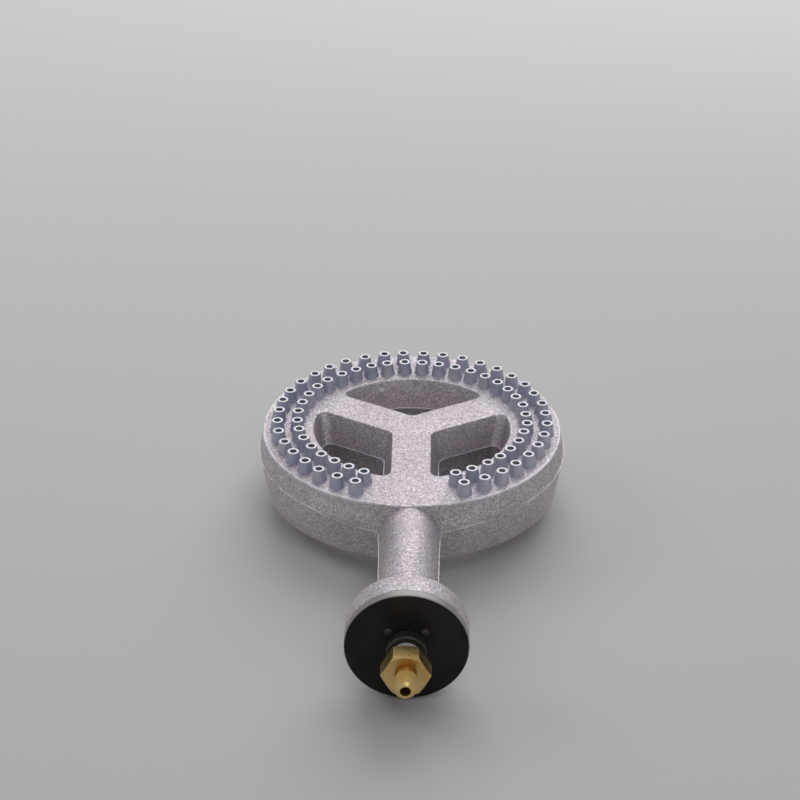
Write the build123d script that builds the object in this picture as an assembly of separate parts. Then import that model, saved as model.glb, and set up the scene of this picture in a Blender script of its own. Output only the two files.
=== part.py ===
"""Banjo burner: a hollow cast head with two rings of jets, a mixer tube, a bell and a screw-on air shutter.

The head's axis is +Z and the mixer tube leaves it along -Y. The origin is on the head's axis, on the
surface that the three feet stand on. Millimetres throughout.
"""
from build123d import *
import math
import os

# Head casting
plate_radius = 124.0  # top plate, out to its rim
rim_flare = 3.0  # how much wider the head is at the mould's joint than at the plate
floor_draft = 5.0  # how much narrower the head is at its floor than at the joint
upper_depth = 25.0  # plate down to the parting line, at the height of the tube's axis
lower_depth = 26.0  # parting line down to the floor
joint_rise = 6.5  # round the head's outside, the mould's joint runs this much above the parting line
joint_ramp = 55.0  # and comes down to it beside the tube, over this distance
plate_thickness = 6.0
floor_thickness = 5.0
wall = 5.0
ring_width = 42.0  # plate rim in to the openings
spoke_width = 32.0  # at the plate
upper_draft = 6.5  # each opening wall leans in by this from the plate to the parting line
lower_draft = 4.0  # and back out by this from there to the floor
hub_corner = 9.0  # opening's corner at the hub
ring_corner = 7.0  # opening's two corners at the ring
flash_height = 0.7  # ridge left by the mould along its joint
flash_thickness = 0.8
edge_round = 0.9  # rounded edges of the plate

# Feet under the spokes' outer ends
foot_radius = 9.0
foot_flare = 4.0  # extra radius where a foot meets the floor
foot_clearance = 2.0  # bell's lowest point above the standing surface
bolt_hole_radius = 3.4  # tapping size of an M8 thread
bolt_hole_depth = 16.0

# Core plugs under the head
plug_radius = 11.0
plug_socket_width = 10.0  # across the flats of its key socket
plug_socket_depth = 3.0

# Jets
jets_per_ring = 36
inlet_gap = 45.0  # degrees without jets over the mixer tube
outer_jet_inset = 12.0  # plate rim in to the outer ring of jets
inner_jet_inset = 13.3  # openings' edge out to the inner ring of jets
jet_height = 10.0
jet_tip_radius = 4.7
jet_foot_radius = 6.3  # where it stands on the plate
jet_bore_radius = 2.8
jet_shank_radius = 4.0

# Mixer tube and bell
tube_length = 124.0  # head's widest place to the back of the bell
tube_head_radius = 23.6
tube_bell_radius = 22.4
fin_height = 2.1  # the ridge along the tube stands out further where it leaves the head
fin_length = 25.0
bore_head_radius = 18.0
throat_radius = 15.0
horn_length = 40.0  # behind the bell, where the tube begins to open
horn_end_radius = 31.5  # outside of the tube where it meets the bell's back
bell_radius = 46.0
bell_length = 19.2
bell_wall = 5.0
bell_edge_round = 0.7
bell_face_length = 8.0  # straight stretch inside the bell's mouth

# Spider in the bell, which carries the nipple
spider_depth = 17.2  # bell's front down to the spider's front
spider_length = 11.0
spider_hub_wall = 5.0
rib_thickness = 6.0
rib_count = 3

# Gas nipple with its lock nut and orifice jet
nipple_radius = 10.0
nipple_tail = 6.0  # stands out behind the spider
gas_bore_radius = 4.5
lock_washer_thickness = 1.2
lock_washer_radius = 15.0
lock_nut_width = 30.0  # across flats
lock_nut_thickness = 6.0
orifice_width = 12.0  # across flats
orifice_hex_length = 6.0
orifice_nose_length = 3.0
orifice_nose_radius = 4.0
orifice_shank_length = 8.0
orifice_bore_radius = 1.1

# Air shutter, its hub and its spring
shutter_gap = 0.4  # open by this much at rest
shutter_rim = 7.0  # depth of the shutter's rim
shutter_thickness = 2.0
shutter_edge_round = 1.0
hub_flange_radius = 23.0
hub_flange_thickness = 2.5
hub_barrel_radius = 15.0
hub_barrel_length = 10.0  # from the shutter's inner face to the hub's front
rivet_count = 4
rivet_radius = 1.6
rivet_head_radius = 3.0
rivet_head_height = 1.3
thrust_washer_thickness = 1.5
thrust_washer_radius = 14.6
seat_washer_thickness = 1.0
seat_washer_radius = 14.6
spring_wire_radius = 0.7
spring_turns = 4

# Inlet adapter, its seal and its filter
adapter_gap = 12.0  # shutter hub's front to the adapter, at rest
adapter_width = 32.0  # across flats
adapter_hex_length = 15.0
adapter_socket_depth = 10.0
inlet_thread_radius = 7.94
inlet_thread_length = 16.0
inlet_groove_length = 2.0
inlet_groove_depth = 0.9
inlet_nose_radius = 5.2
inlet_bore_radius = 4.0
seal_thickness = 1.5
filter_thickness = 0.8

# Fits
press_clearance = 0.02
thread_clearance = 0.05
running_clearance = 0.06
washer_clearance = 0.4
spring_clearance = 0.6
spring_end_clearance = 0.1
cut_over = 2.0  # how far a cut runs past the face it opens
hex_chamfer = 1.2

# Heights
parting_z = bell_radius + foot_clearance
joint_z = parting_z + joint_rise
plate_z = parting_z + upper_depth
floor_z = parting_z - lower_depth

# Radii of the head and its openings
parting_radius = plate_radius + rim_flare
floor_radius = parting_radius - floor_draft
window_radius = plate_radius - ring_width
floor_window_radius = window_radius - upper_draft + lower_draft
ring_middle = (floor_window_radius + floor_radius) / 2
outer_jet_circle = plate_radius - outer_jet_inset
inner_jet_circle = window_radius + inner_jet_inset

# Stations along the mixer, measured forward from the head's axis
bell_back = parting_radius + tube_length
bell_front = bell_back + bell_length
horn_start = bell_back - horn_length
spider_front = bell_front - spider_depth
spider_back = spider_front - spider_length
lock_nut_back = spider_front + lock_washer_thickness
lock_nut_front = lock_nut_back + lock_nut_thickness
seat_washer_front = lock_nut_front + seat_washer_thickness
shutter_back = bell_front + shutter_gap
shutter_front = shutter_back + shutter_rim
shutter_inside = shutter_front - shutter_thickness
hub_back = shutter_inside - hub_flange_thickness
hub_front = shutter_inside + hub_barrel_length
thrust_washer_back = hub_back - thrust_washer_thickness
adapter_back = hub_front + adapter_gap
adapter_front = adapter_back + adapter_hex_length
socket_end = adapter_back + adapter_socket_depth
nipple_front = socket_end - filter_thickness - seal_thickness
nipple_back = spider_back - nipple_tail
inlet_end = adapter_front + inlet_thread_length

SPOKE_ANGLES = (0, 120, 240)  # degrees from the mixer tube
WINDOW_ANGLES = (60, 180, 300)
STANDING = (Align.CENTER, Align.CENTER, Align.MIN)
inlet_axis = Location(Plane(origin=(0, 0, parting_z), x_dir=(1, 0, 0), z_dir=(0, -1, 0)))


def between(z, low_z, low, high_z, high):
    """Value at height z of a wall that leans evenly from low to high."""
    return low + (high - low) * (z - low_z) / (high_z - low_z)


def lean(z):
    """How far an opening's wall has leaned in at height z, compared with the plate."""
    if z >= parting_z:
        return between(z, parting_z, upper_draft, plate_z, 0)
    return between(z, floor_z, upper_draft - lower_draft, parting_z, upper_draft)


def rim_radius(z):
    """Outside radius of the head at height z."""
    if z >= joint_z:
        return between(z, joint_z, parting_radius, plate_z, plate_radius)
    return between(z, floor_z, floor_radius, joint_z, parting_radius)


def around(circle, angle):
    """Point on a circle about the head's axis, at an angle from the mixer tube."""
    turn = math.radians(angle)
    return circle * math.sin(turn), -circle * math.cos(turn)


def window_face(z, shrink):
    """Outline of the front-facing opening at height z, drawn in on all sides by shrink."""
    half_spoke = spoke_width / 2 + lean(z) + shrink
    radius = window_radius - lean(z) - shrink
    slope = math.radians(60)
    apex = -half_spoke / math.sin(slope)
    reach = math.sqrt(radius**2 - half_spoke**2) + apex * math.cos(slope)
    side_x = reach * math.sin(slope)
    side_y = apex - reach * math.cos(slope)
    sides = [Line((-side_x, side_y), (0, apex)), Line((0, apex), (side_x, side_y))]
    face = make_face(sides + [ThreePointArc((side_x, side_y), (0, -radius), (-side_x, side_y))])
    corners = face.vertices().sort_by(Axis.Y)
    face = face.face().fillet_2d(hub_corner, [corners[-1]])
    corners = face.vertices().sort_by(Axis.X)
    face = face.fillet_2d(ring_corner, [corners[0], corners[-1]])
    return Pos(0, 0, z) * face


def window_cut(low_z, high_z, shrink):
    """Leaning cut for one opening, between two heights on one side of the parting line."""
    return loft([window_face(low_z, shrink), window_face(high_z, shrink)], ruled=True)


def at_windows(shape):
    """The three copies of a shape that belongs to the opening drawn over the mixer tube."""
    return [Rot(0, 0, angle) * shape for angle in WINDOW_ANGLES]


def spun(outline):
    """Solid turned about +Z from (radius, height) points."""
    points = [(radius, 0, height) for radius, height in outline]
    return revolve(make_face(Polyline(*points, close=True)), Axis.Z)


def turned(outline):
    """Solid turned about the mixer's axis from (radius, station) points."""
    return inlet_axis * spun(outline)


def ring(outer, inner, back, front):
    """Plain ring on the mixer's axis."""
    return turned([(inner, back), (outer, back), (outer, front), (inner, front)])


def hexagon(width, back, front):
    """Six-sided bar on the mixer's axis, one flat upwards, with its end corners turned off."""
    flat = width / 2
    corner = flat / math.cos(math.radians(30))
    bar = extrude(RegularPolygon(flat, 6, major_radius=False), front - back)
    ends = [(0, back), (flat, back), (corner, back + hex_chamfer)]
    ends += [(corner, front - hex_chamfer), (flat, front), (0, front)]
    return (inlet_axis * (Pos(0, 0, back) * bar)) & turned(ends)


def head_block(grown):
    """Outside of the head, made wider all round by grown."""
    outline = [(0, floor_z), (floor_radius + grown, floor_z), (parting_radius + grown, joint_z)]
    outline += [(plate_radius + grown, plate_z), (0, plate_z)]
    return spun(outline)


def rim_ridge():
    """Ridge left by the mould round the head: level, but coming down to the tube's ridge on either side."""
    reach = parting_radius + cut_over
    near = tube_head_radius
    far = near + joint_ramp
    half_flash = flash_thickness / 2
    joint = [(-reach, joint_z), (-far, joint_z), (-near, parting_z)]
    joint += [(near, parting_z), (far, joint_z), (reach, joint_z)]
    edge = [(x, 0, z + half_flash) for x, z in joint] + [(x, 0, z - half_flash) for x, z in reversed(joint)]
    front = extrude(make_face(Polyline(*edge, close=True)), reach, dir=(0, -1, 0))
    rear = Pos(0, reach / 2, joint_z) * Box(2 * reach, reach, flash_thickness)
    inside = Pos(0, 0, floor_z) * Cylinder(floor_radius - wall, plate_z - floor_z, align=STANDING)
    return (front + rear) & (head_block(flash_height) - inside)


def head_openings():
    """Cuts for the three openings, which leave the parting ridge standing."""
    half_flash = flash_thickness / 2
    upper = window_cut(parting_z + half_flash, plate_z + cut_over, 0)
    lower = window_cut(floor_z - cut_over, parting_z - half_flash, 0)
    ridge = extrude(window_face(parting_z - half_flash, flash_height), flash_thickness)
    return at_windows(upper) + at_windows(lower) + at_windows(ridge)


def gas_chamber():
    """Hollow ring, spokes and hub inside the head."""
    low_z = floor_z + floor_thickness
    high_z = plate_z - plate_thickness
    outline = [(0, low_z), (rim_radius(low_z) - wall, low_z), (parting_radius - wall, joint_z)]
    outline += [(rim_radius(high_z) - wall, high_z), (0, high_z)]
    upper = window_cut(parting_z, plate_z, -wall)
    lower = window_cut(floor_z, parting_z, -wall)
    return spun(outline) - at_windows(upper) - at_windows(lower)


def tangent_bend(start, end):
    """Middle point of the arc that leaves start along the mixer's axis and reaches end."""
    rise = end[0] - start[0]
    run = end[1] - start[1]
    bend = (rise**2 + run**2) / (2 * rise)
    half_turn = math.asin(run / bend) / 2
    return start[0] + bend * (1 - math.cos(half_turn)), start[1] + bend * math.sin(half_turn)


def profile(points):
    """Points of a turned profile, from their radii and stations."""
    return [(radius, 0, station) for radius, station in points]


def tube_radius(station):
    """Outside radius of the mixer tube, which narrows evenly towards the bell."""
    return between(station, parting_radius, tube_head_radius, horn_start, tube_bell_radius)


def mixer_solid(horn, horn_end, before, after):
    """Solid of revolution on the mixer's axis that opens along an arc from horn to horn_end."""
    arc = ThreePointArc(*profile([horn, tangent_bend(horn, horn_end), horn_end]))
    ends = [Polyline(*profile(before + [horn])), Polyline(*profile([horn_end] + after + before[:1]))]
    return inlet_axis * revolve(make_face(ends + [arc]), Axis.Z)


def mixer_outside():
    """Tube, horn and bell as one solid of revolution, kept from standing above the plate."""
    root = plate_radius - wall
    horn = (tube_bell_radius, horn_start)
    horn_end = (horn_end_radius, bell_back)
    before = [(0, root), (tube_radius(root), root)]
    after = [(bell_radius, bell_back), (bell_radius, bell_front), (0, bell_front)]
    solid = mixer_solid(horn, horn_end, before, after)
    circles = solid.edges().filter_by(lambda edge: edge.is_closed)
    solid = fillet(circles.group_by(SortBy.RADIUS)[-1], bell_edge_round)
    return solid - Pos(0, 0, plate_z) * Cylinder(parting_radius, tube_head_radius, align=STANDING)


def mixer_ridge():
    """Parting ridge along both sides of the tube, widest where it leaves the head."""
    fin_end = parting_radius + fin_length
    right = [(tube_radius(plate_radius) + fin_height, -plate_radius)]
    right += [(tube_radius(fin_end) + flash_height, -fin_end), (tube_bell_radius + flash_height, -horn_start)]
    left = [(-x, y) for x, y in reversed(right)]
    sheet = make_face(Polyline(*right, *left, close=True))
    return Pos(0, 0, parting_z - flash_thickness / 2) * extrude(sheet, flash_thickness)


def mixer_bore():
    """Air and gas passage: bell mouth, throat and widening bore into the head."""
    root = parting_radius - 2 * wall
    end = bell_front + cut_over
    mouth = bell_radius - bell_wall
    throat = (throat_radius, horn_start)
    neck = (horn_end_radius - bell_wall, bell_back + bell_wall)
    before = [(0, root), (bore_head_radius, root)]
    after = [(mouth, bell_front - bell_face_length), (mouth, end), (0, end)]
    return mixer_solid(throat, neck, before, after)


def spider():
    """Hub and ribs cast inside the bell, tapped for the nipple."""
    hub = ring(nipple_radius + spider_hub_wall, 0, spider_back, spider_front)
    reach = bell_radius - bell_wall
    rib = Pos(0, reach / 2, (spider_back + spider_front) / 2) * Box(rib_thickness, reach, spider_length)
    turn = 360 / rib_count
    ribs = [inlet_axis * (Rot(0, 0, turn * number) * rib) for number in range(rib_count)]
    return (hub + ribs) & mixer_outside()


def feet():
    """Tapered feet under the outer ends of the spokes."""
    height = floor_z + floor_thickness / 2
    foot = Cone(foot_radius, foot_radius + foot_flare, height, align=STANDING)
    return [place * foot for place in foot_places()]


def casting_holes():
    """Holes for the nipple, the stand's bolts, the core plugs and the jets."""
    nipple_hole = ring(nipple_radius + thread_clearance, 0, spider_back - cut_over, spider_front + cut_over)
    bolt_hole = Pos(0, 0, -cut_over) * Cylinder(bolt_hole_radius, bolt_hole_depth + cut_over, align=STANDING)
    plug_hole = Cylinder(plug_radius + press_clearance, floor_thickness + 2 * cut_over)
    plug_hole = Pos(0, 0, floor_z + floor_thickness / 2) * plug_hole
    shank_hole = Cylinder(jet_shank_radius + press_clearance, plate_thickness + 2 * cut_over)
    shank_hole = Pos(0, 0, plate_z - plate_thickness / 2) * shank_hole
    holes = [nipple_hole]
    holes += [place * bolt_hole for place in foot_places()]
    holes += [place * plug_hole for place in plug_places()]
    for circle in (outer_jet_circle, inner_jet_circle):
        holes += [place * shank_hole for place in jet_places(circle)]
    return holes


def burner_casting():
    """Head, feet, mixer tube and bell, cast in one."""
    head = head_block(0) - head_openings()
    head = fillet(head.edges().group_by(Axis.Z)[-1], edge_round)
    casting = head + rim_ridge() + feet() + mixer_outside() + mixer_ridge()
    return casting - gas_chamber() - mixer_bore() + spider() - casting_holes()


def foot_places():
    """One foot under each spoke's outer end."""
    return [Location((*around(ring_middle, angle), 0)) for angle in SPOKE_ANGLES]


def plug_places():
    """Core plugs: one under the hub and one under the ring behind each opening."""
    ring_places = [Location((*around(ring_middle, angle), 0)) for angle in WINDOW_ANGLES]
    return [Location((0, 0, 0))] + ring_places


def jet_places(circle):
    """Evenly spaced jets on a circle, with a gap over the mixer tube."""
    pitch = (360 - inlet_gap) / (jets_per_ring - 1)
    angles = [inlet_gap / 2 + pitch * number for number in range(jets_per_ring)]
    return [Location((*around(circle, angle), 0)) for angle in angles]


def jets(circle):
    """One ring of turned jets, pressed into the plate."""
    tip_z = plate_z + jet_height
    outline = [(jet_bore_radius, plate_z - plate_thickness), (jet_shank_radius, plate_z - plate_thickness)]
    outline += [(jet_shank_radius, plate_z), (jet_foot_radius, plate_z)]
    outline += [(jet_tip_radius, tip_z), (jet_bore_radius, tip_z)]
    jet = spun(outline)
    return [place * jet for place in jet_places(circle)]


def core_plugs():
    """Threaded plugs with a key socket, flush with the head's floor."""
    plug = Cylinder(plug_radius, floor_thickness, align=STANDING)
    socket = extrude(RegularPolygon(plug_socket_width / 2, 6, major_radius=False), plug_socket_depth)
    plug = Pos(0, 0, floor_z) * (plug - socket)
    return [place * plug for place in plug_places()]


def helix_path(radius, start, end, turns):
    """Helix on the mixer's axis, drawn as two arcs for each quarter turn."""
    rise = (end - start) / (4 * turns)
    quarter = math.pi / 2

    def point(number):
        turn = number * quarter
        return Vector(radius * math.cos(turn), radius * math.sin(turn), start + rise * number)

    def heading(number):
        turn = number * quarter
        speed = radius * quarter
        return Vector(-speed * math.sin(turn), speed * math.cos(turn), rise).normalized()

    arcs = []
    for number in range(4 * turns):
        first, last = point(number), point(number + 1)
        leave, arrive = heading(number), heading(number + 1)
        span = last - first
        spread = 2 * (1 - leave.dot(arrive))
        along = span.dot(leave + arrive)
        reach = (-along + math.sqrt(along**2 + spread * span.dot(span))) / spread
        middle = (first + leave * reach + last - arrive * reach) * 0.5
        arcs += [TangentArc(first, middle, tangent=leave)]
        arcs += [TangentArc(middle, last, tangent=last - arrive * reach - first - leave * reach)]
    return arcs, point(0), heading(0)


def shutter_spring():
    """Compression spring round the nipple, between its two washers."""
    coil_radius = nipple_radius + spring_clearance + spring_wire_radius
    start = seat_washer_front + spring_wire_radius + spring_end_clearance
    end = thrust_washer_back - spring_wire_radius - spring_end_clearance
    arcs, first, heading = helix_path(coil_radius, start, end, spring_turns)
    path = Wire(arcs)
    section = Plane(origin=first, z_dir=heading) * Circle(spring_wire_radius)
    spring = sweep(section, path=path)
    pitch_gap = (end - start) / spring_turns - 2 * spring_wire_radius
    expected = math.pi * spring_wire_radius**2 * path.length
    print("spring gap between turns:", round(pitch_gap, 3), "mm")
    print("spring volume over section times length:", round(spring.volume / expected, 4))
    return inlet_axis * spring


def orifice_nipple():
    """Threaded pipe from the inlet adapter to the orifice jet."""
    return ring(nipple_radius, gas_bore_radius, nipple_back, nipple_front)


def orifice_jet():
    """Brass jet screwed into the nipple's inner end."""
    hex_back = nipple_back - orifice_hex_length
    nose = hex_back - orifice_nose_length
    body = hexagon(orifice_width, hex_back, nipple_back)
    shank_radius = gas_bore_radius - thread_clearance
    body += turned([(0, hex_back), (0, nose), (orifice_nose_radius, nose), (orifice_width / 2, hex_back)])
    body += ring(shank_radius, 0, nipple_back, nipple_back + orifice_shank_length)
    return body - ring(orifice_bore_radius, 0, nose - cut_over, nipple_back + orifice_shank_length + cut_over)


def lock_nut():
    """Thin nut that locks the nipple in the spider."""
    bore = nipple_radius + thread_clearance
    nut = hexagon(lock_nut_width, lock_nut_back, lock_nut_front)
    return nut - ring(bore, 0, lock_nut_back - cut_over, lock_nut_front + cut_over)


def air_shutter():
    """Pressed disc with a turned-back rim that closes on the bell."""
    hole = hub_barrel_radius + press_clearance
    rim_inside = bell_radius - shutter_thickness
    outline = [(hole, shutter_inside), (rim_inside, shutter_inside), (rim_inside, shutter_back)]
    outline += [(bell_radius, shutter_back), (bell_radius, shutter_front), (hole, shutter_front)]
    disc = turned(outline)
    edges = disc.edges().filter_by(GeomType.CIRCLE).group_by(Axis.Y)[0]
    disc = fillet(edges.sort_by(SortBy.RADIUS)[-1], shutter_edge_round)
    for place in rivet_places():
        disc -= place * Cylinder(rivet_radius + press_clearance, shutter_rim * 2)
    return disc


def rivet_places():
    """Rivets round the hub, on the middle of its flange, each at the shutter's inner face."""
    circle = (hub_barrel_radius + hub_flange_radius) / 2
    turn = 360 / rivet_count
    places = []
    for number in range(rivet_count):
        angle = math.radians(turn * (number + 0.5))
        x = circle * math.cos(angle)
        y = circle * math.sin(angle)
        places += [inlet_axis * Location((x, y, shutter_inside))]
    return places


def shutter_hub():
    """Threaded bush in the shutter's middle."""
    bore = nipple_radius + running_clearance
    hub = turned([(bore, hub_back), (hub_flange_radius, hub_back), (hub_flange_radius, shutter_inside),
                  (hub_barrel_radius, shutter_inside), (hub_barrel_radius, hub_front - hex_chamfer),
                  (hub_barrel_radius - hex_chamfer, hub_front), (bore, hub_front)])
    for place in rivet_places():
        hub -= place * Cylinder(rivet_radius + press_clearance, shutter_rim * 2)
    return hub


def shutter_rivets():
    """Solid rivets, a round head in front and a flat tail flush in the hub's flange."""
    outline = [(0, -hub_flange_thickness), (rivet_radius, -hub_flange_thickness)]
    outline += [(rivet_radius, shutter_thickness), (rivet_head_radius, shutter_thickness)]
    outline += [(rivet_head_radius - rivet_head_height, shutter_thickness + rivet_head_height)]
    outline += [(0, shutter_thickness + rivet_head_height)]
    rivet = spun(outline)
    return [place * rivet for place in rivet_places()]


def inlet_adapter():
    """Brass adapter: socket for the nipple, hexagon, and a male flare inlet."""
    body = hexagon(adapter_width, adapter_back, adapter_front)
    groove = inlet_thread_radius - inlet_groove_depth
    nose_back = inlet_end - inlet_groove_depth
    outline = [(0, adapter_front), (groove, adapter_front), (groove, adapter_front + inlet_groove_length)]
    outline += [(inlet_thread_radius, adapter_front + inlet_groove_length + inlet_groove_depth)]
    outline += [(inlet_thread_radius, nose_back), (groove, inlet_end)]
    outline += [(inlet_nose_radius, inlet_end + groove - inlet_nose_radius)]
    outline += [(0, inlet_end + groove - inlet_nose_radius)]
    body += turned(outline)
    body -= ring(nipple_radius + thread_clearance, 0, adapter_back - cut_over, socket_end)
    return body - ring(inlet_bore_radius, 0, socket_end - cut_over, inlet_end + inlet_thread_radius)


def write(name, shapes):
    """Write one named piece, or one group of like pieces, to its own file."""
    group = shapes if isinstance(shapes, list) else shapes.solids()
    solids = [solid for shape in group for solid in shape.solids()]
    shape = solids[0] if len(solids) == 1 else Compound(children=solids)
    shape.label = name
    export_step(shape, os.path.join("parts", name + ".step"))


def main():
    os.makedirs("parts", exist_ok=True)
    write("burner_casting", burner_casting())
    write("core_plugs", core_plugs())
    write("outer_jets", jets(outer_jet_circle))
    write("inner_jets", jets(inner_jet_circle))
    write("orifice_nipple", orifice_nipple())
    write("orifice_jet", orifice_jet())
    washer_bore = nipple_radius + washer_clearance
    write("lock_washer", ring(lock_washer_radius, washer_bore, spider_front, lock_nut_back))
    write("lock_nut", lock_nut())
    write("spring_seat_washer", ring(seat_washer_radius, washer_bore, lock_nut_front, seat_washer_front))
    write("shutter_spring", shutter_spring())
    write("thrust_washer", ring(thrust_washer_radius, washer_bore, thrust_washer_back, hub_back))
    write("air_shutter", air_shutter())
    write("shutter_hub", shutter_hub())
    write("shutter_rivets", shutter_rivets())
    write("inlet_adapter", inlet_adapter())
    seal_radius = nipple_radius - thread_clearance
    write("inlet_seal", ring(seal_radius, gas_bore_radius, nipple_front, nipple_front + seal_thickness))
    write("inlet_filter", ring(seal_radius, 0, socket_end - filter_thickness, socket_end))


main()
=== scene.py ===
import math
import random

import bpy
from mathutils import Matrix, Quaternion, Vector


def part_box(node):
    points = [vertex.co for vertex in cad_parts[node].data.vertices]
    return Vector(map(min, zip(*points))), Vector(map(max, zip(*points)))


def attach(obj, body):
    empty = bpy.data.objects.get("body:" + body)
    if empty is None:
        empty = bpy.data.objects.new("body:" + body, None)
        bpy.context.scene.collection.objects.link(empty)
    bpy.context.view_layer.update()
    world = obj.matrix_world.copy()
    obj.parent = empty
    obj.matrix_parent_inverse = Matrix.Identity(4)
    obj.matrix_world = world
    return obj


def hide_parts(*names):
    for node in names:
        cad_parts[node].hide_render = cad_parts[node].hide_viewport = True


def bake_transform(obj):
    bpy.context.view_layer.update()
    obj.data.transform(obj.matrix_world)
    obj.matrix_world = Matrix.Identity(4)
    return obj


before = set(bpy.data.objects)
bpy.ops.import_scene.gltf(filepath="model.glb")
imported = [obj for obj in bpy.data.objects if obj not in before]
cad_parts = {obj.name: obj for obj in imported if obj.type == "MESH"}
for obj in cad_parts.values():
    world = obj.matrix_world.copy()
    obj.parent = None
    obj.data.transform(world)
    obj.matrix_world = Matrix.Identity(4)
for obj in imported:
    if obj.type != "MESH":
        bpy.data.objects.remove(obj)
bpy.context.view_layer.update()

# The burner casting: hollow head, mixer tube and bell in one piece of grey iron, poured round a
# sand core and shot blasted to a sparkling silver grey. Iron that crept into the mould's joint is a
# thin ragged line, at the tube's axis along the tube and in the openings, higher round the head.
casting_low, casting_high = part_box("burner_casting")
nipple_low, nipple_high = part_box("orifice_nipple")
mixer_z = (nipple_low.z + nipple_high.z) / 2
jet_height = 0.010
plate_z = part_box("outer_jets")[1].z - jet_height
plate_radius = 0.124
tube_radius = 0.0236
bell_front = casting_low.y
bell_length = 0.060
opening_reach = 0.090
joint_rise = 0.0065
joint_ramp = 0.055
joint_tolerance = 1e-5
flash_root = 0.1262
flash_tolerance = 0.0006
flash_half_height = 0.0005
flash_depth = 0.0011
opening_flash = 0.0007
rim_width = 0.0012
rim_drop = 0.0014
rim_depth = 0.0008
slice_width = 0.006
fine_edge = 0.0025
flat_angle = math.radians(0.5)
weld_distance = 1e-6
mould_waves = 0.012
mould_depth = 0.00035
ragged_waves = 0.0030
machined_margin = 0.0008
blemish_place = Vector((-0.0267, 0.0755, 0.0655))
blemish_radius = 0.0035
blemish_height = 0.0011


def open_mesh(piece):
    """Opens one piece, and no other, in edit mode with all of it selected."""
    bpy.ops.object.select_all(action="DESELECT")
    piece.select_set(True)
    bpy.context.view_layer.objects.active = piece
    bpy.ops.object.mode_set(mode="EDIT")
    bpy.ops.mesh.select_mode(type="VERT")
    bpy.ops.mesh.select_all(action="SELECT")


def close_mesh(sharp_from=35):
    """Leaves edit mode and shades smooth, up to edges sharper than an angle in degrees."""
    bpy.ops.object.mode_set(mode="OBJECT")
    bpy.ops.object.shade_smooth_by_angle(angle=math.radians(sharp_from))


def copied_node(node, name):
    """A piece with the mesh of a node of the frame, its triangles merged, open in edit mode."""
    piece = bpy.data.objects.new(name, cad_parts[node].data.copy())
    bpy.context.scene.collection.objects.link(piece)
    open_mesh(piece)
    bpy.ops.mesh.customdata_custom_splitnormals_clear()
    bpy.ops.mesh.remove_doubles(threshold=weld_distance)
    return piece


def apply_modifier(piece, kind, **settings):
    """Adds a modifier to a piece in object mode and applies it."""
    modifier = piece.modifiers.new(kind.lower(), kind)
    for key, value in settings.items():
        setattr(modifier, key, value)
    bpy.context.view_layer.objects.active = piece
    bpy.ops.object.modifier_apply(modifier=modifier.name)


def joint_height(place):
    """Height of the mould's joint outside: level round the head, and lower beside the tube."""
    climb = (abs(place.x) - tube_radius) / joint_ramp
    return mixer_z + joint_rise * (1 if place.y > 0 else min(max(climb, 0), 1))


def on_flash(place):
    """Whether a point of the casting is on the ridge left at the joint of the mould."""
    outside = math.hypot(place.x, place.y) > flash_root and place.y > bell_front + bell_length
    return outside and abs(place.z - joint_height(place)) < flash_tolerance


def on_opening_joint(place):
    """Whether a point is on the sharp middle of an opening's wall, where the mould's halves met."""
    return math.hypot(place.x, place.y) < opening_reach and abs(place.z - mixer_z) < joint_tolerance


def on_rim(place):
    """Whether a point of the casting is on the rounded rim of the plate."""
    from_rim = abs(math.hypot(place.x, place.y) - plate_radius)
    return from_rim < rim_width and place.z > plate_z - rim_drop


casting = copied_node("burner_casting", "cast_head_tube_and_bell")
bpy.ops.mesh.dissolve_limited(angle_limit=flat_angle)
for axis in range(3):
    slice_normal = Vector((0, 0, 0))
    slice_normal[axis] = 1
    slices = math.floor((casting_high[axis] - casting_low[axis]) / slice_width)
    for number in range(slices):
        slice_place = slice_normal * (casting_low[axis] + (number + 0.5) * slice_width)
        bpy.ops.mesh.select_all(action="SELECT")
        bpy.ops.mesh.bisect(plane_co=slice_place, plane_no=slice_normal, threshold=weld_distance)
for flash_edge in (mixer_z - flash_half_height, mixer_z + flash_half_height):
    bpy.ops.mesh.select_all(action="SELECT")
    bpy.ops.mesh.bisect(plane_co=(0, 0, flash_edge), plane_no=(0, 0, 1), threshold=weld_distance)
bpy.ops.mesh.select_mode(type="EDGE")
bpy.ops.mesh.select_all(action="DESELECT")
bpy.ops.object.mode_set(mode="OBJECT")
points = casting.data.vertices
for edge in casting.data.edges:
    start, end = (points[index].co for index in edge.vertices)
    ragged_edge = any(where(start) and where(end) for where in (on_flash, on_rim, on_opening_joint))
    edge.select = ragged_edge and (start - end).length > fine_edge
bpy.ops.object.mode_set(mode="EDIT")
bpy.ops.mesh.subdivide(number_cuts=2)
bpy.ops.mesh.select_all(action="SELECT")
bpy.ops.mesh.quads_convert_to_tris()
bpy.ops.object.mode_set(mode="OBJECT")

cast_points = []
opening_points = []
flash_points = []
rim_points = []
for point in casting.data.vertices:
    place = point.co
    if place.y > bell_front + machined_margin and place.z > machined_margin:
        cast_points.append(point.index)
    if on_opening_joint(place):
        opening_points.append(point.index)
    elif on_flash(place):
        flash_points.append(point.index)
    elif on_rim(place):
        rim_points.append(point.index)
    lift = 1 - (place - blemish_place).length / blemish_radius
    if lift > 0:
        point.co = place + blemish_height * lift * Vector((-place.x, -place.y, 0)).normalized()

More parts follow.
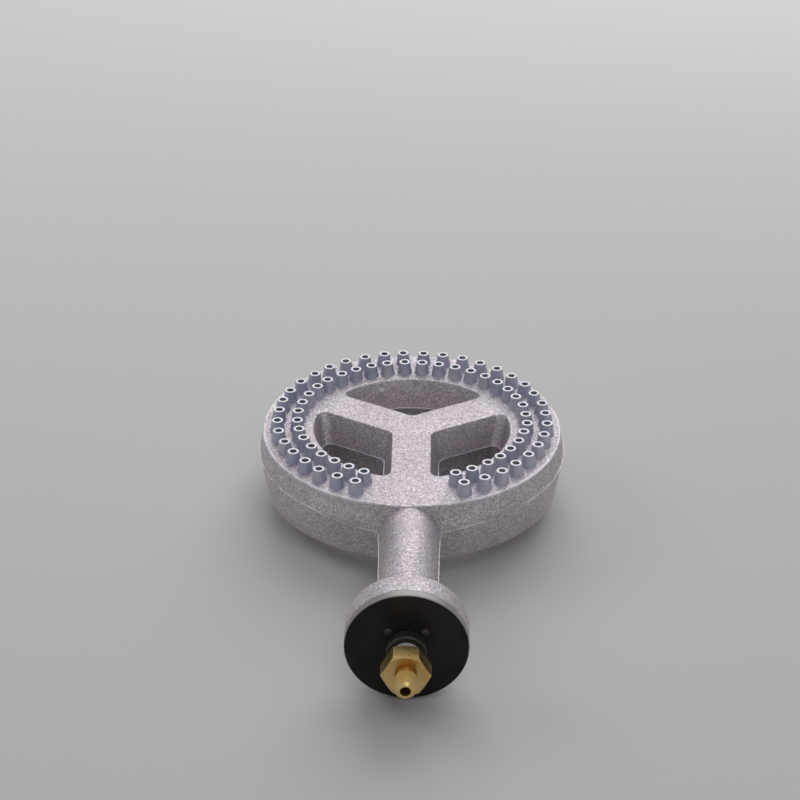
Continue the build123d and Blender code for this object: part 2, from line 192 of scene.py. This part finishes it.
for name, indices, waves, depth, level in (
    ("mould sand", cast_points, mould_waves, mould_depth, 0.5),
    ("opening joint", opening_points, ragged_waves, opening_flash, -0.4),
    ("mould joint", flash_points, ragged_waves, flash_depth, 0.4),
    ("plate rim", rim_points, ragged_waves, rim_depth, 0.5),
):
    casting.vertex_groups.new(name=name).add(indices, 1.0, "REPLACE")
    roughness = bpy.data.textures.new(name, "CLOUDS")
    roughness.noise_scale = waves
    apply_modifier(casting, "DISPLACE", texture=roughness, strength=depth, mid_level=level,
                   vertex_group=name, texture_coords="LOCAL")
open_mesh(casting)
close_mesh()


def add_node(tree, kind, inputs=None, **settings):
    """Adds a shader node. Each input is given as a value, or as the socket that feeds it."""
    made = tree.nodes.new(kind)
    for key, value in settings.items():
        setattr(made, key, value)
    for socket, value in (inputs or {}).items():
        if isinstance(value, bpy.types.NodeSocket):
            tree.links.new(value, made.inputs[socket])
        else:
            made.inputs[socket].default_value = value
    return made


def calculate(tree, operation, *values):
    """A Math node's result, from values or the sockets that feed it."""
    made = add_node(tree, "ShaderNodeMath", dict(enumerate(values)), operation=operation)
    return made.outputs["Value"]


def diagonal(tree, *sides):
    """The length of the diagonal over two sides at right angles."""
    squares = [calculate(tree, "MULTIPLY", side, side) for side in sides]
    return calculate(tree, "SQRT", calculate(tree, "ADD", *squares))


def share_between(tree, value, none, full, most=1.0):
    """How far a value has come from where an effect starts to where there is most of it."""
    inputs = {"Value": value, "From Min": none, "From Max": full, "To Max": most}
    return add_node(tree, "ShaderNodeMapRange", inputs).outputs["Result"]


def ramp(tree, factor, *stops):
    """A colour ramp with stops given as (position, grey or (red, green, blue))."""
    made = add_node(tree, "ShaderNodeValToRGB", {"Fac": factor})
    elements = made.color_ramp.elements
    while len(elements) < len(stops):
        elements.new(1.0)
    for element, (position, colour) in zip(elements, stops):
        element.position = position
        shade = colour if isinstance(colour, tuple) else (colour,) * 3
        element.color = (*shade, 1.0)
    return made.outputs["Color"]


def mixed(tree, factor, first, second, blend="MIX"):
    """Two colours mixed, each given as a colour or as the socket that feeds it."""
    colours = [c if isinstance(c, bpy.types.NodeSocket) else (*c, 1.0) for c in (first, second)]
    inputs = {"Factor": factor, 6: colours[0], 7: colours[1]}
    return add_node(tree, "ShaderNodeMix", inputs, data_type="RGBA", blend_type=blend).outputs[2]


def surface_place(tree):
    """A point of the surface in the object's own coordinates."""
    return add_node(tree, "ShaderNodeTexCoord").outputs["Object"]


def surface_axes(tree):
    """The X, Y and Z of a point of the surface."""
    return add_node(tree, "ShaderNodeSeparateXYZ", {"Vector": surface_place(tree)}).outputs


def new_group(name, inputs, outputs):
    """An empty shader node group with inputs, as {name: value}, and the names of its outputs."""
    group = bpy.data.node_groups.new(name, "ShaderNodeTree")
    for label, value in inputs.items():
        socket = group.interface.new_socket(label, in_out="INPUT", socket_type="NodeSocketFloat")
        socket.default_value = value
    for label in outputs:
        group.interface.new_socket(label, in_out="OUTPUT", socket_type="NodeSocketFloat")
    asked = group.nodes.new("NodeGroupInput").outputs
    given = group.nodes.new("NodeGroupOutput").inputs
    return group, asked, given


grain_raggedness = 1.2
fine_tone_share = 0.9
cell_relief = 0.8
patch_scale = 34.0
metal_grain, asked, given = new_group("metal grain", {"Scale": 900.0},
                                      ["Tone", "Height", "Patches"])
place = surface_place(metal_grain)
ragged = add_node(metal_grain, "ShaderNodeTexNoise", {
    "Vector": place, "Scale": asked["Scale"], "Detail": 3.0,
})
ragged_reach = calculate(metal_grain, "DIVIDE", grain_raggedness, asked["Scale"])
ragged_step = add_node(metal_grain, "ShaderNodeVectorMath", {
    0: ragged.outputs["Color"], "Scale": ragged_reach,
}, operation="SCALE")
ragged_place = add_node(metal_grain, "ShaderNodeVectorMath", {
    0: place, 1: ragged_step.outputs["Vector"],
})
cells = add_node(metal_grain, "ShaderNodeTexVoronoi", {
    "Vector": ragged_place.outputs["Vector"], "Scale": asked["Scale"],
})
dents = add_node(metal_grain, "ShaderNodeTexNoise", {
    "Vector": place, "Scale": asked["Scale"], "Detail": 3.0, "Roughness": 0.65,
})
patches = add_node(metal_grain, "ShaderNodeTexNoise", {
    "Vector": place, "Scale": patch_scale, "Detail": 4.0, "Roughness": 0.6,
})
cell_colour = add_node(metal_grain, "ShaderNodeSeparateColor", {"Color": cells.outputs["Color"]})
fine_tone = calculate(metal_grain, "MULTIPLY_ADD",
                      dents.outputs["Fac"], fine_tone_share, -fine_tone_share / 2)
grain_tone = calculate(metal_grain, "ADD", cell_colour.outputs["Red"], fine_tone)
grain_height = calculate(metal_grain, "MULTIPLY_ADD",
                         cells.outputs["Distance"], cell_relief, dents.outputs["Fac"])
metal_grain.links.new(grain_tone, given["Tone"])
metal_grain.links.new(grain_height, given["Height"])
metal_grain.links.new(patches.outputs["Fac"], given["Patches"])


def start_material(name, grain_scale):
    """A new material with the metal grain in it: the material, its tree and the grain's outputs."""
    material = bpy.data.materials.new(name)
    material.use_nodes = True
    tree = material.node_tree
    grain = add_node(tree, "ShaderNodeGroup", node_tree=metal_grain)
    grain.inputs["Scale"].default_value = grain_scale
    return material, tree, grain.outputs


def finish_material(tree, colour, roughness, relief, metallic, strength, distance):
    """Feeds a material's shader: colour and roughness from sockets, and a bump from a relief."""
    shader = tree.nodes["Principled BSDF"]
    bump = add_node(tree, "ShaderNodeBump", {
        "Strength": strength, "Distance": distance, "Height": relief,
    })
    shader.inputs["Metallic"].default_value = metallic
    tree.links.new(colour, shader.inputs["Base Color"])
    tree.links.new(roughness, shader.inputs["Roughness"])
    tree.links.new(bump.outputs["Normal"], shader.inputs["Normal"])


joint_dull, joint_lightest, joint_ragged = 0.0012, 0.0006, 0.0005
rim_dull, rim_lightest, rim_ragged = 0.0024, 0.0014, 0.0009
rim_lightening_share = 0.75
rim_lightening_drop = 0.0016
blemish_dull, blemish_lightest = 0.0024, 0.0014
blasted_iron, tree, grain = start_material("blasted iron", grain_scale=1050.0)
crystal = ramp(tree, grain["Tone"], (0.0, (0.40, 0.364, 0.39)), (0.5, (0.61, 0.555, 0.595)),
               (0.93, (0.79, 0.725, 0.775)), (0.99, (0.97, 0.91, 0.96)))
patch_shade = ramp(tree, grain["Patches"], (0.3, 0.84), (0.7, 1.0))
iron_colour = mixed(tree, 1.0, crystal, patch_shade, "MULTIPLY")
axes = surface_axes(tree)
sideways = calculate(tree, "ABSOLUTE", axes["X"])
beside_tube = share_between(tree, sideways, tube_radius, tube_radius + joint_ramp)
climb = calculate(tree, "MAXIMUM", beside_tube, calculate(tree, "GREATER_THAN", axes["Y"], 0.0))
reach = diagonal(tree, axes["X"], axes["Y"])
climb = calculate(tree, "MULTIPLY", climb, calculate(tree, "GREATER_THAN", reach, opening_reach))
joint = calculate(tree, "MULTIPLY_ADD", climb, joint_rise, mixer_z)
from_joint = calculate(tree, "ABSOLUTE", calculate(tree, "SUBTRACT", axes["Z"], joint))
from_joint = calculate(tree, "MULTIPLY_ADD", grain["Tone"], joint_ragged, from_joint)
# The mould's joint is lighter: partly bare metal on the flash, partly a painted highlight on its
# ridge.
at_joint = share_between(tree, from_joint, joint_dull, joint_lightest)
wear_and_highlight_patches = ramp(tree, grain["Patches"], (0.42, 0.25), (0.56, 1.0))
joint_wear_and_highlight = calculate(tree, "MULTIPLY", at_joint, wear_and_highlight_patches)
iron_colour = mixed(tree, joint_wear_and_highlight, iron_colour, (0.82, 0.78, 0.80))
# The plate's rim is lighter: partly worn metal, partly a painted highlight on its rounded edge.
from_rim = calculate(tree, "ABSOLUTE", calculate(tree, "SUBTRACT", reach, plate_radius))
from_rim = calculate(tree, "MULTIPLY_ADD", grain["Tone"], rim_ragged, from_rim)
near_rim = share_between(tree, from_rim, rim_dull, rim_lightest, rim_lightening_share)
at_plate = calculate(tree, "GREATER_THAN", axes["Z"], plate_z - rim_lightening_drop)
at_rim = calculate(tree, "MULTIPLY", near_rim, at_plate)
rim_wear_and_highlight = calculate(tree, "MULTIPLY", at_rim, wear_and_highlight_patches)
iron_colour = mixed(tree, rim_wear_and_highlight, iron_colour, (0.88, 0.84, 0.87))
# A near-white spot on the burr: partly bare metal, partly a painted glint.
from_blemish = add_node(tree, "ShaderNodeVectorMath", {
    0: surface_place(tree), 1: blemish_place,
}, operation="DISTANCE").outputs["Value"]
blemish_bare_and_glint = share_between(tree, from_blemish, blemish_dull, blemish_lightest)
iron_colour = mixed(tree, blemish_bare_and_glint, iron_colour, (0.96, 0.94, 0.96))
iron_gloss = ramp(tree, grain["Tone"], (0.0, 0.54), (0.85, 0.44), (1.0, 0.28))
finish_material(tree, iron_colour, iron_gloss, grain["Height"],
                metallic=0.9, strength=0.5, distance=0.0005)


def dress(piece, material, body, slot, *nodes):
    """Gives a new piece its material and its body, and hides the nodes it stands for; slot is not
    used.
    """
    piece.data.materials.clear()
    piece.data.materials.append(material)
    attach(piece, body)
    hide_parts(*nodes)


dress(casting, blasted_iron, "burner", "blasted_iron", "burner_casting")

# Core plugs: blackened steel plugs with a key socket, screwed into the holes that held the sand
# core, one under the hub and one under the ring behind each opening.
black_steel, tree, grain = start_material("blackened steel", grain_scale=1500.0)
black_colour = ramp(tree, grain["Patches"], (0.35, (0.030, 0.030, 0.033)),
                    (0.6, (0.055, 0.052, 0.050)), (0.75, (0.095, 0.080, 0.070)))
black_gloss = ramp(tree, grain["Patches"], (0.3, 0.38), (0.7, 0.56))
finish_material(tree, black_colour, black_gloss, grain["Height"],
                metallic=0.6, strength=0.15, distance=0.0003)


def finish_node(node, material):
    """Gives a node of the frame its material."""
    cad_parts[node].material_slots[0].material = material


finish_node("core_plugs", black_steel)

# The jets: short turned nozzles of mild steel, 36 to a ring, each pressed into a hole in the plate.
# Heat tint and painted blue light make them blue grey, their flat tips worn bright round the bore.
jets_per_ring = 36
inlet_gap = math.radians(45)
first_jet = -math.pi / 2 + inlet_gap / 2
jet_pitch = (2 * math.pi - inlet_gap) / (jets_per_ring - 1)
outer_circle = 0.112
inner_circle = 0.0953
tip_radius = 0.0047
foot_radius = 0.0063
bore_radius = 0.0028
shank_radius = 0.0040
shank_depth = 0.0060
tip_chamfer = 0.0002
tip_wear = 0.0006
jet_marks = 1.5
jet_sides = 36
most_lean = 0.07
jet_scatter = random.Random(36)


def drawn_line(name, corners):
    """A new piece that is one line from corner to corner, open in edit mode."""
    bpy.ops.object.select_all(action="DESELECT")
    bpy.ops.mesh.primitive_plane_add(size=0.001)
    piece = bpy.context.object
    piece.name = name
    open_mesh(piece)
    bpy.ops.mesh.merge(type="CENTER")
    bpy.ops.transform.translate(value=corners[0])
    for before, after in zip(corners, corners[1:]):
        bpy.ops.mesh.extrude_region_move(TRANSFORM_OT_translate={"value": after - before})
    return piece


def lathe(name, outline, centre, axis, sides):
    """A closed piece turned about an axis from a closed outline beside it, open in edit mode."""
    piece = drawn_line(name, outline + outline[:1])
    bpy.ops.mesh.select_all(action="SELECT")
    bpy.ops.mesh.spin(steps=sides, angle=2 * math.pi, center=centre, axis=axis)
    bpy.ops.mesh.select_all(action="SELECT")
    bpy.ops.mesh.remove_doubles(threshold=weld_distance)
    bpy.ops.mesh.normals_make_consistent(inside=False)
    return piece


def jet_ring(name, circle):
    """One jet, turned beside the mixer tube and repeated round the head to the tube's other side.

    Each jet then leans a little its own way, as they were pressed in one by one.
    """
    middle = Vector((circle * math.cos(first_jet), circle * math.sin(first_jet), plate_z))
    outline = [
        (bore_radius, -shank_depth), (bore_radius, jet_height - tip_chamfer),
        (bore_radius + tip_chamfer, jet_height), (tip_radius - tip_chamfer, jet_height),
        (tip_radius, jet_height - tip_chamfer), (foot_radius, 0.0),
        (shank_radius, 0.0), (shank_radius, -shank_depth),
    ]
    corners = [middle + Vector((radius, 0, height)) for radius, height in outline]
    ring = lathe(name, corners, middle, (0, 0, 1), jet_sides)
    bpy.ops.mesh.spin(steps=jets_per_ring - 1, dupli=True, angle=inlet_gap - 2 * math.pi,
                      center=(0, 0, 0), axis=(0, 0, 1))
    close_mesh()
    leans = [most_lean * Vector((jet_scatter.uniform(-1, 1), jet_scatter.uniform(-1, 1), 0))
             for number in range(jets_per_ring)]
    for point in ring.data.vertices:
        turn = math.atan2(point.co.y, point.co.x) - first_jet
        turn = (turn + jet_pitch) % (2 * math.pi) - jet_pitch
        point.co += leans[round(turn / jet_pitch)] * (point.co.z - plate_z)
    return ring


marks_per_metre = 3000.0
turning_marks, asked, given = new_group("turning marks", {"Along": 0.0}, ["Marks"])
marks = add_node(turning_marks, "ShaderNodeTexNoise", {
    "W": calculate(turning_marks, "MULTIPLY", asked["Along"], marks_per_metre),
    "Scale": 1.0, "Detail": 2.0,
}, noise_dimensions="1D")
turning_marks.links.new(marks.outputs["Fac"], given["Marks"])


def turned_relief(tree, along, share, relief):
    """A relief with a share of the marks that a lathe's tool leaves, side by side on the work."""
    marks = add_node(tree, "ShaderNodeGroup", {"Along": along}, node_tree=turning_marks)
    return calculate(tree, "MULTIPLY_ADD", marks.outputs["Marks"], share, relief)


jet_steel, tree, grain = start_material("heat-tinted steel with painted blue light", grain_scale=2200.0)
axes = surface_axes(tree)
height = axes["Z"]
reach = diagonal(tree, axes["X"], axes["Y"])
outer_ring = calculate(tree, "GREATER_THAN", reach, (outer_circle + inner_circle) / 2)
turn = calculate(tree, "ARCTAN2", axes["Y"], axes["X"])
jet_turn = calculate(tree, "MULTIPLY_ADD", turn, 1 / jet_pitch, -first_jet / jet_pitch)
jet_number = calculate(tree, "MULTIPLY_ADD", outer_ring, 2.0 * jets_per_ring,
                       calculate(tree, "ROUND", jet_turn))
each_jet = add_node(tree, "ShaderNodeTexWhiteNoise", {
    "W": jet_number,
}, noise_dimensions="1D").outputs["Value"]
tip_z = plate_z + jet_height
at_tip = share_between(tree, height, tip_z - tip_wear, tip_z - tip_chamfer)
# The jets' blue grey: partly heat tint, partly painted blue light.
heat_tint_and_painted_blue = ramp(tree, each_jet, (0.0, (0.53, 0.55, 0.70)), (0.5, (0.60, 0.61, 0.73)),
              (1.0, (0.65, 0.65, 0.73)))
heat_tint_and_painted_blue = mixed(tree, 1.0, heat_tint_and_painted_blue, ramp(tree, grain["Tone"], (0.0, 0.8), (1.0, 1.0)), "MULTIPLY")
jet_colour = mixed(tree, at_tip, heat_tint_and_painted_blue, (0.66, 0.66, 0.70))
jet_gloss = ramp(tree, at_tip, (0.0, 0.48), (1.0, 0.40))
jet_relief = turned_relief(tree, height, jet_marks, grain["Height"])
finish_material(tree, jet_colour, jet_gloss, jet_relief,
                metallic=0.75, strength=0.12, distance=0.0003)

outer_jets = jet_ring("outer_jet_ring", outer_circle)
inner_jets = jet_ring("inner_jet_ring", inner_circle)
dress(outer_jets, jet_steel, "burner", "jet_steel", "outer_jets")
dress(inner_jets, jet_steel, "burner", "jet_steel", "inner_jets")

# The gas nipple: a zinc-plated steel tube, threaded from end to end, that screws through the spider
# in the bell. The air shutter travels on the same thread.
thread_pitch = 0.0015
thread_depth = 0.00085
thread_sides = 40
thread_cut = 1e-7
gas_bore_radius = 0.0045


def threaded_tube(name, outside, pitch, depth, back, front, bore):
    """A tube along Y with a right-hand thread, open in edit mode.

    The thread is wound two turns longer than the tube, and then cut square at both ends.
    """
    turns = math.ceil((back - front) / pitch) + 2
    root = outside - depth
    tooth = [(root, 0.0), (root, 0.12), (outside, 0.44), (outside, 0.56), (root, 0.88), (root, 1.0)]
    piece = drawn_line(name, [Vector((radius, share * pitch, 0)) for radius, share in tooth])
    bpy.ops.object.mode_set(mode="OBJECT")
    apply_modifier(piece, "SCREW", axis="Y", screw_offset=pitch, iterations=turns,
                   steps=thread_sides, render_steps=thread_sides)
    open_mesh(piece)
    bpy.ops.mesh.remove_doubles(threshold=weld_distance)
    bpy.ops.mesh.normals_make_consistent(inside=False)
    bpy.ops.transform.translate(value=(0, front - pitch, mixer_z))
    for cut, outward in ((back, 1), (front, -1)):
        bpy.ops.mesh.select_all(action="SELECT")
        bpy.ops.mesh.bisect(plane_co=(0, cut, mixer_z), plane_no=(0, outward, 0), use_fill=True,
                            clear_outer=True, threshold=thread_cut)
    close_mesh()
    bpy.ops.mesh.primitive_cylinder_add(vertices=thread_sides, radius=bore,
                                        depth=2 * (back - front),
                                        location=(0, (back + front) / 2, mixer_z),
                                        rotation=(math.pi / 2, 0, 0))
    drill = bpy.context.object
    apply_modifier(piece, "BOOLEAN", object=drill, operation="DIFFERENCE", solver="EXACT")
    bpy.data.objects.remove(drill)
    open_mesh(piece)
    return piece


nipple = threaded_tube("gas_nipple", nipple_high.x, thread_pitch, thread_depth,
                       nipple_high.y, nipple_low.y, gas_bore_radius)
close_mesh()

zinc_steel, tree, grain = start_material("zinc plate", grain_scale=1300.0)
zinc_colour = ramp(tree, grain["Patches"], (0.3, (0.50, 0.51, 0.53)), (0.55, (0.60, 0.60, 0.60)),
                   (0.75, (0.64, 0.61, 0.55)))
zinc_gloss = ramp(tree, grain["Patches"], (0.3, 0.30), (0.7, 0.48))
finish_material(tree, zinc_colour, zinc_gloss, grain["Height"],
                metallic=0.95, strength=0.10, distance=0.0002)
dress(nipple, zinc_steel, "burner", "zinc_steel", "orifice_nipple")

# Zinc-plated steel on the nipple inside the bell: a lock washer and nut, tightened against the
# spider, a seat washer for the spring and, at the spring's other end, the thrust washer that the
# shutter's hub turns against.
for node in ("lock_washer", "lock_nut", "spring_seat_washer", "thrust_washer"):
    finish_node(node, zinc_steel)

# The shutter's spring: four turns of drawn wire round the nipple. It presses on the shutter's hub,
# so that the thread can't shake loose, and lengthens as the shutter is screwed out.
wire_radius = 0.0007
wire_sides = 14
spring_turns = 4
turn_steps = 48
spring_low, spring_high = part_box("shutter_spring")
coil_radius = spring_high.x - wire_radius
spring_length = spring_high.y - spring_low.y - 2 * wire_radius
bpy.ops.object.select_all(action="DESELECT")
bpy.ops.mesh.primitive_circle_add(vertices=wire_sides, radius=wire_radius, fill_type="NGON")
spring = bpy.context.object
spring.name = "coil_spring"
open_mesh(spring)
bpy.ops.transform.translate(value=(coil_radius, 0, 0))
bpy.ops.object.mode_set(mode="OBJECT")
apply_modifier(spring, "SCREW", axis="Y", screw_offset=spring_length / spring_turns,
               iterations=spring_turns, steps=turn_steps, render_steps=turn_steps)
open_mesh(spring)
bpy.ops.mesh.remove_doubles(threshold=weld_distance)
bpy.ops.mesh.fill_holes(sides=0)
bpy.ops.mesh.select_all(action="SELECT")
bpy.ops.transform.translate(value=(0, spring_low.y + wire_radius, mixer_z))
bpy.ops.mesh.normals_make_consistent(inside=False)
close_mesh(sharp_from=60)

spring_steel, tree, grain = start_material("drawn wire", grain_scale=1800.0)
wire_colour = ramp(tree, grain["Patches"], (0.3, (0.24, 0.24, 0.25)), (0.7, (0.42, 0.41, 0.40)))
wire_gloss = ramp(tree, grain["Patches"], (0.3, 0.34), (0.7, 0.5))
finish_material(tree, wire_colour, wire_gloss, grain["Height"],
                metallic=0.95, strength=0.1, distance=0.0002)
spring.data.materials.append(spring_steel)
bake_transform(spring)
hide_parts("shutter_spring")

# The air shutter: a disc pressed from sheet steel with a turned-back rim, its face near-black as
# painted shade and its rim bare steel. Its threaded hub is fixed to it with four rivets.
shutter_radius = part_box("air_shutter")[1].x
bare_edge = 0.0005
bare_ragged = 0.0006
rim_marks = 2.0


def mixer_place(tree):
    """A point's station along the mixer's axis, and its distance from that axis."""
    axes = surface_axes(tree)
    return axes["Y"], diagonal(tree, axes["X"], calculate(tree, "SUBTRACT", axes["Z"], mixer_z))


shutter_steel, tree, grain = start_material("shutter with painted shade face", grain_scale=1500.0)
station, reach = mixer_place(tree)
worn_reach = calculate(tree, "MULTIPLY_ADD", grain["Patches"], bare_ragged, reach)
bare = share_between(tree, worn_reach, shutter_radius - bare_edge, shutter_radius)
# The face's near-black is painted shade; the rim band is the steel's own colour.
painted_shade_face_colour = ramp(tree, grain["Patches"], (0.3, (0.018, 0.0165, 0.0165)),
                   (0.7, (0.034, 0.031, 0.030)))
rim_colour = ramp(tree, grain["Patches"], (0.3, (0.30, 0.285, 0.28)), (0.7, (0.38, 0.36, 0.355)))
shutter_colour = mixed(tree, bare, painted_shade_face_colour, rim_colour)
shutter_gloss = ramp(tree, grain["Patches"], (0.3, 0.36), (0.7, 0.5))
marked_share = calculate(tree, "MULTIPLY", bare, rim_marks)
shutter_relief = turned_relief(tree, station, marked_share, grain["Height"])
finish_material(tree, shutter_colour, shutter_gloss, shutter_relief,
                metallic=0.85, strength=0.08, distance=0.0002)
finish_node("air_shutter", shutter_steel)
finish_node("shutter_hub", black_steel)
finish_node("shutter_rivets", black_steel)

# The gas inlet: a brass adapter screwed on the nipple's end, with a flare thread for the hose nut.
# It is turned from hexagon bar, and its flats are those of the bar. The orifice jet in the nipple's
# inner end is of the same brass.
adapter_low, adapter_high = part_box("inlet_adapter")
hexagon_length = 0.015
hexagon_front = adapter_high.y - hexagon_length
turned_radius = 0.0159
turned_marks = 1.5
inlet_radius = 0.00794
inlet_pitch = 0.0254 / 18
inlet_depth = 0.0008
inlet_bore = 0.0040
groove_length = 0.0020
seat_radius = 0.0052
sleeve_gap = 0.00005
nose_overlap = 0.001
nose_radius = inlet_radius - inlet_depth - sleeve_gap
nose_back = hexagon_front + nose_overlap
seat_back = adapter_low.y + nose_radius - seat_radius
adapter = copied_node("inlet_adapter", "flare_adapter")
bpy.ops.mesh.bisect(plane_co=(0, hexagon_front - groove_length / 4, 0), plane_no=(0, -1, 0),
                    use_fill=True, clear_outer=True, threshold=weld_distance)
close_mesh(sharp_from=15)
thread = threaded_tube("flare_thread", inlet_radius, inlet_pitch, inlet_depth,
                       hexagon_front - groove_length, seat_back, (inlet_bore + nose_radius) / 2)
close_mesh(sharp_from=25)
nose_outline = [
    (inlet_bore, nose_back), (nose_radius, nose_back), (nose_radius, seat_back),
    (seat_radius, adapter_low.y), (inlet_bore, adapter_low.y),
]
nose = lathe("flare_nose", [Vector((radius, station, mixer_z)) for radius, station in nose_outline],
             (0, 0, mixer_z), (0, 1, 0), thread_sides)
close_mesh(sharp_from=25)
for part in (adapter, thread, nose):
    part.select_set(True)
bpy.context.view_layer.objects.active = adapter
bpy.ops.object.join()

brass, tree, grain = start_material("machined brass", grain_scale=1600.0)
brass_colour = ramp(tree, grain["Patches"], (0.3, (0.60, 0.40, 0.15)), (0.6, (0.74, 0.53, 0.24)),
                    (0.75, (0.66, 0.44, 0.19)))
brass_gloss = ramp(tree, grain["Patches"], (0.3, 0.24), (0.7, 0.4))
station, reach = mixer_place(tree)
turned = calculate(tree, "LESS_THAN", reach, turned_radius)
marked_share = calculate(tree, "MULTIPLY", turned, turned_marks)
along_cut = calculate(tree, "ADD", station, reach)
brass_relief = turned_relief(tree, along_cut, marked_share, grain["Height"])
finish_material(tree, brass_colour, brass_gloss, brass_relief,
                metallic=0.98, strength=0.08, distance=0.0002)
dress(adapter, brass, "burner", "brass", "inlet_adapter")
finish_node("orifice_jet", brass)

# The inlet's seal: a washer stamped from red fibre, clamped between the nipple's end and the gauze
# in the adapter's socket, so that no gas leaks out along the nipple's thread.
red_fibre, tree, grain = start_material("red fibre", grain_scale=900.0)
fibre_colour = ramp(tree, grain["Patches"], (0.3, (0.30, 0.06, 0.045)), (0.7, (0.42, 0.11, 0.085)))
fibre_gloss = ramp(tree, grain["Patches"], (0.3, 0.6), (0.7, 0.75))
finish_material(tree, fibre_colour, fibre_gloss, grain["Height"],
                metallic=0.0, strength=0.2, distance=0.0003)
finish_node("inlet_seal", red_fibre)

# The inlet's filter: a disc of woven bronze gauze at the bottom of the adapter's socket, held there
# by the seal. It keeps grit out of the orifice jet.
gauze_mesh = 0.0009
bronze_gauze, tree, grain = start_material("bronze gauze", grain_scale=2600.0)
axes = surface_axes(tree)
wires = [calculate(tree, "SINE", calculate(tree, "MULTIPLY", axes[axis], 2 * math.pi / gauze_mesh))
         for axis in ("X", "Z")]
weave_relief_and_shade = calculate(tree, "MAXIMUM", *wires)
# The weave is drawn in the colour: painted shade in the gaps and on the wires' sides, a painted
# highlight on their crests.
gauze_colour_with_painted_shade = ramp(tree, weave_relief_and_shade, (0.0, (0.05, 0.03, 0.015)), (0.5, (0.36, 0.23, 0.11)),
                    (1.0, (0.62, 0.44, 0.24)))
gauze_gloss = ramp(tree, grain["Patches"], (0.3, 0.4), (0.7, 0.55))
finish_material(tree, gauze_colour_with_painted_shade, gauze_gloss, weave_relief_and_shade, metallic=0.9, strength=0.6, distance=0.0003)
finish_node("inlet_filter", bronze_gauze)

# The studio: a pale floor that runs out into a pale backdrop, three softboxes above it, and a
# camera that looks down over the air shutter at the head.
floor_size = 400.0
floor_shade = 0.86
sky_light = 0.18
backdrop_shade = 0.45
lit_reach = 0.4
backdrop_reach = 3.2
bpy.ops.object.select_all(action="DESELECT")
bpy.ops.mesh.primitive_plane_add(size=floor_size)
floor = bpy.context.object
floor.name = "studio_floor"
floor_paint = bpy.data.materials.new("floor paint")
floor_paint.use_nodes = True
tree = floor_paint.node_tree
shader = tree.nodes["Principled BSDF"]
away = add_node(tree, "ShaderNodeVectorMath", {
    0: surface_place(tree),
}, operation="LENGTH").outputs["Value"]
far_light = add_node(tree, "ShaderNodeMapRange", {
    "Value": away, "From Min": lit_reach, "From Max": backdrop_reach,
    "To Max": backdrop_shade - floor_shade * sky_light,
}, interpolation_type="SMOOTHSTEP").outputs["Result"]


def seen_rays(tree):
    """One for rays that show a surface to the camera or in a polished piece, nought for others."""
    rays = add_node(tree, "ShaderNodeLightPath").outputs
    mirrored = calculate(tree, "MAXIMUM", rays["Is Glossy Ray"], rays["Is Transmission Ray"])
    return calculate(tree, "MAXIMUM", rays["Is Camera Ray"], mirrored)


shown_light = calculate(tree, "MULTIPLY", far_light, seen_rays(tree))
tree.links.new(shown_light, shader.inputs["Emission Strength"])
shader.inputs["Emission Color"].default_value = (1.0, 1.0, 1.0, 1.0)
shader.inputs["Base Color"].default_value = (floor_shade, floor_shade, floor_shade, 1.0)
shader.inputs["Roughness"].default_value = 0.7
shader.inputs["Specular IOR Level"].default_value = 0.0
floor.data.materials.append(floor_paint)

world = bpy.data.worlds.new("studio")
bpy.context.scene.world = world
world.use_nodes = True
tree = world.node_tree
backdrop = tree.nodes["Background"]
sky_strength = calculate(tree, "MULTIPLY_ADD", seen_rays(tree),
                         backdrop_shade - sky_light, sky_light)
backdrop.inputs["Color"].default_value = (1.0, 1.0, 1.0, 1.0)
tree.links.new(sky_strength, backdrop.inputs["Strength"])

head_middle = Vector((0, 0, plate_z))
for name, spot, size, power in (
    ("back softbox", (0.3, 1.5, 1.7), 2.4, 22.0),
    ("left softbox", (-1.5, 0.4, 1.3), 0.8, 3.0),
    ("front softbox", (0.5, -1.6, 2.0), 1.4, 6.0),
):
    lamp = bpy.data.lights.new(name, "AREA")
    lamp.size = size
    lamp.energy = power
    softbox = bpy.data.objects.new(name, lamp)
    bpy.context.scene.collection.objects.link(softbox)
    softbox.location = spot
    softbox.rotation_euler = (Vector(spot) - head_middle).to_track_quat("Z", "Y").to_euler()

camera_elevation = math.radians(29.86)
camera_azimuth = math.radians(0.5)
camera_roll = math.radians(0.53)
camera_distance = 1.792
focal_pixels = 2153.2
picture_pixels = 800
jets_middle_pixel = (412.0, 416.3)
jets_middle = Vector((0, 0, plate_z + jet_height))
lens = bpy.data.cameras.new("camera")
lens.sensor_width = 36.0
lens.lens = lens.sensor_width * focal_pixels / picture_pixels
lens.shift_x = 0.5 - jets_middle_pixel[0] / picture_pixels
lens.shift_y = jets_middle_pixel[1] / picture_pixels - 0.5
camera = bpy.data.objects.new("camera", lens)
bpy.context.scene.collection.objects.link(camera)
backwards = Vector((
    math.sin(camera_azimuth) * math.cos(camera_elevation),
    -math.cos(camera_azimuth) * math.cos(camera_elevation),
    math.sin(camera_elevation),
))
camera.location = jets_middle + camera_distance * backwards
camera.rotation_mode = "QUATERNION"
camera.rotation_quaternion = backwards.to_track_quat("Z", "Y") @ Quaternion((0, 0, 1), camera_roll)
bpy.context.scene.camera = camera
bpy.context.scene.view_settings.view_transform = "Standard"
